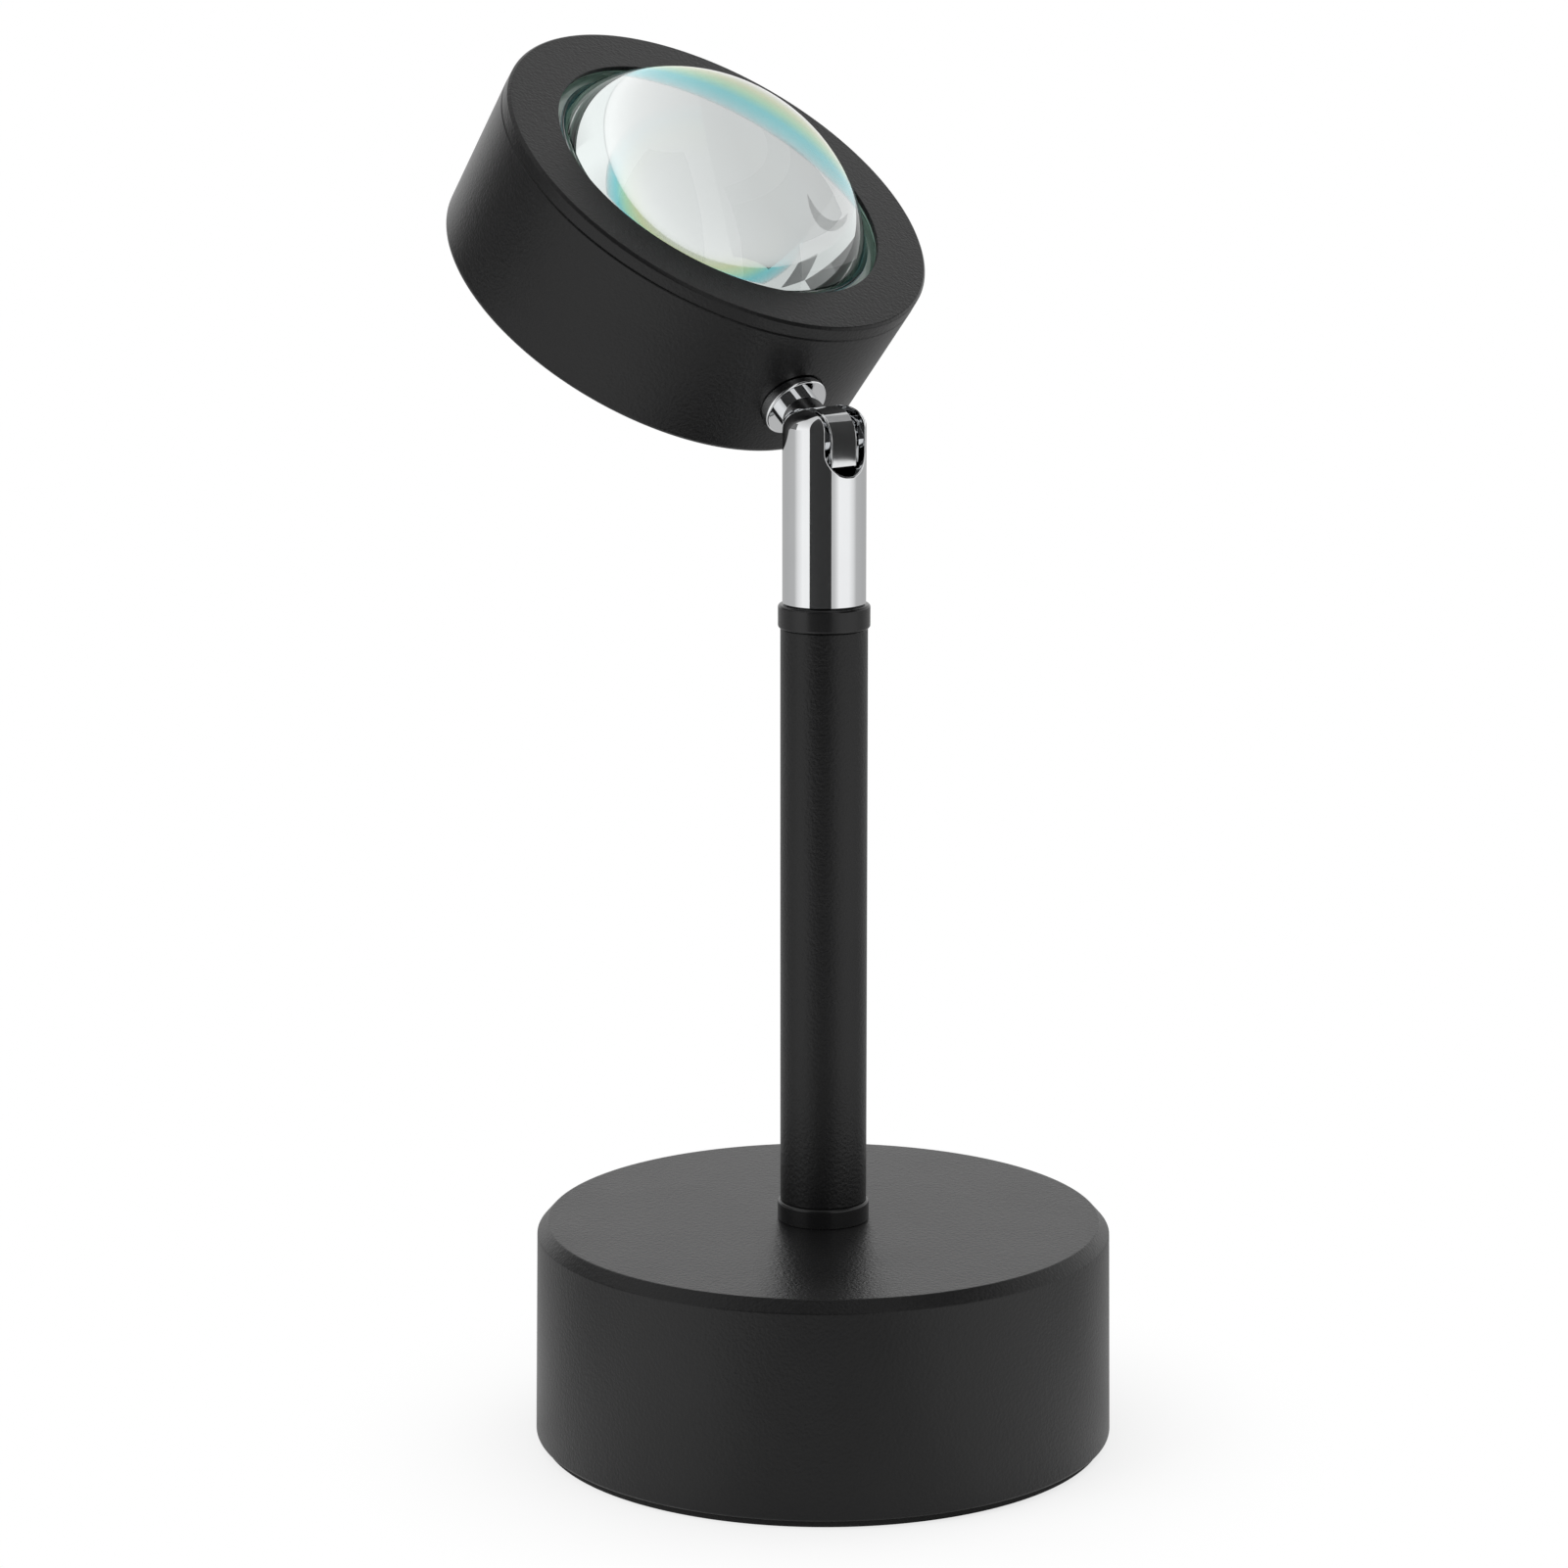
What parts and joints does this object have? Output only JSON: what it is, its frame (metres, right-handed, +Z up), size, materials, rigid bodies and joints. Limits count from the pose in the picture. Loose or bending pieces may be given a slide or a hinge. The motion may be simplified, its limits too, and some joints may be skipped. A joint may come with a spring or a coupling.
{
  "type": "projection lamp",
  "caption": "Folding table projection lamp: drum base, slim stem, chrome swivel and fold hinge, and a round black head with a thick convex lens that casts a coloured disc of light.",
  "frame": {"origin": "centre of the resting face, on the table under the stem", "axes": "+Z up along the stem, -Y the lamp's front, towards which the head folds forward, +X along the hinge pin"},
  "size_m": [0.09, 0.1163, 0.2153],
  "materials": {
    "black_paint": "satin black powder coat with a fine grain",
    "black_collar": "semi-gloss black",
    "chrome": "polished chrome",
    "cast_weight": "raw casting",
    "zinc_steel": "zinc plated",
    "brass": "turned",
    "foot_rubber": "matt rubber",
    "gland_rubber": "moulded rubber",
    "gasket_silicone": "black silicone",
    "white_plastic": "moulded white",
    "friction_plastic": "natural nylon",
    "lead_sheath": "flexible black insulation",
    "lens_glass": "clear polished glass",
    "colour_filter": "thin colour-shifting film on clear backing",
    "board_metal": "white solder mask on metal core",
    "emitter_phosphor": "yellow phosphor"
  },
  "bodies": {
    "stand": {"base_shell": "black_paint", "base_weight": "cast_weight", "base_plate": "zinc_steel", "base_plate_screws": "zinc_steel", "foot_pad": "foot_rubber", "cord_gland": "gland_rubber", "terminal_block": "white_plastic", "terminal_screws": "brass", "stem_nipple": "zinc_steel", "base_washer": "zinc_steel", "base_nut": "zinc_steel", "lower_collar": "black_collar", "pole_tube": "black_paint", "upper_collar": "black_collar", "stem_lead": "lead_sheath"},
    "swivel": {"swivel_sleeve": "chrome", "swivel_stud": "zinc_steel", "swivel_washer": "friction_plastic", "swivel_nut": "zinc_steel", "hinge_pin": "chrome", "hinge_washers": "chrome"},
    "head": {"knuckle": "chrome", "neck_flange": "chrome", "saddle_washer": "zinc_steel", "neck_nut": "zinc_steel", "head_casing": "black_paint", "front_bezel": "black_paint", "lens": "lens_glass", "lens_gasket": "gasket_silicone", "filter_disc": "colour_filter", "light_baffle": "white_plastic", "thermal_pad": "gasket_silicone", "led_board": "board_metal", "led_emitter": "emitter_phosphor", "board_screws": "zinc_steel", "head_lead": "lead_sheath"}
  },
  "joints": [
    {"name": "swivel_turn", "type": "hinge", "parent": "stand", "child": "swivel", "pos_m": [0, 0, 0.13207], "axis": [0, 0, 1], "range_deg": [-170, 170]},
    {"name": "head_tilt", "type": "hinge", "parent": "swivel", "child": "head", "pos_m": [0, 0, 0.1573], "axis": [1, 0, 0], "range_deg": [-35.4, 144.6]}
  ]
}
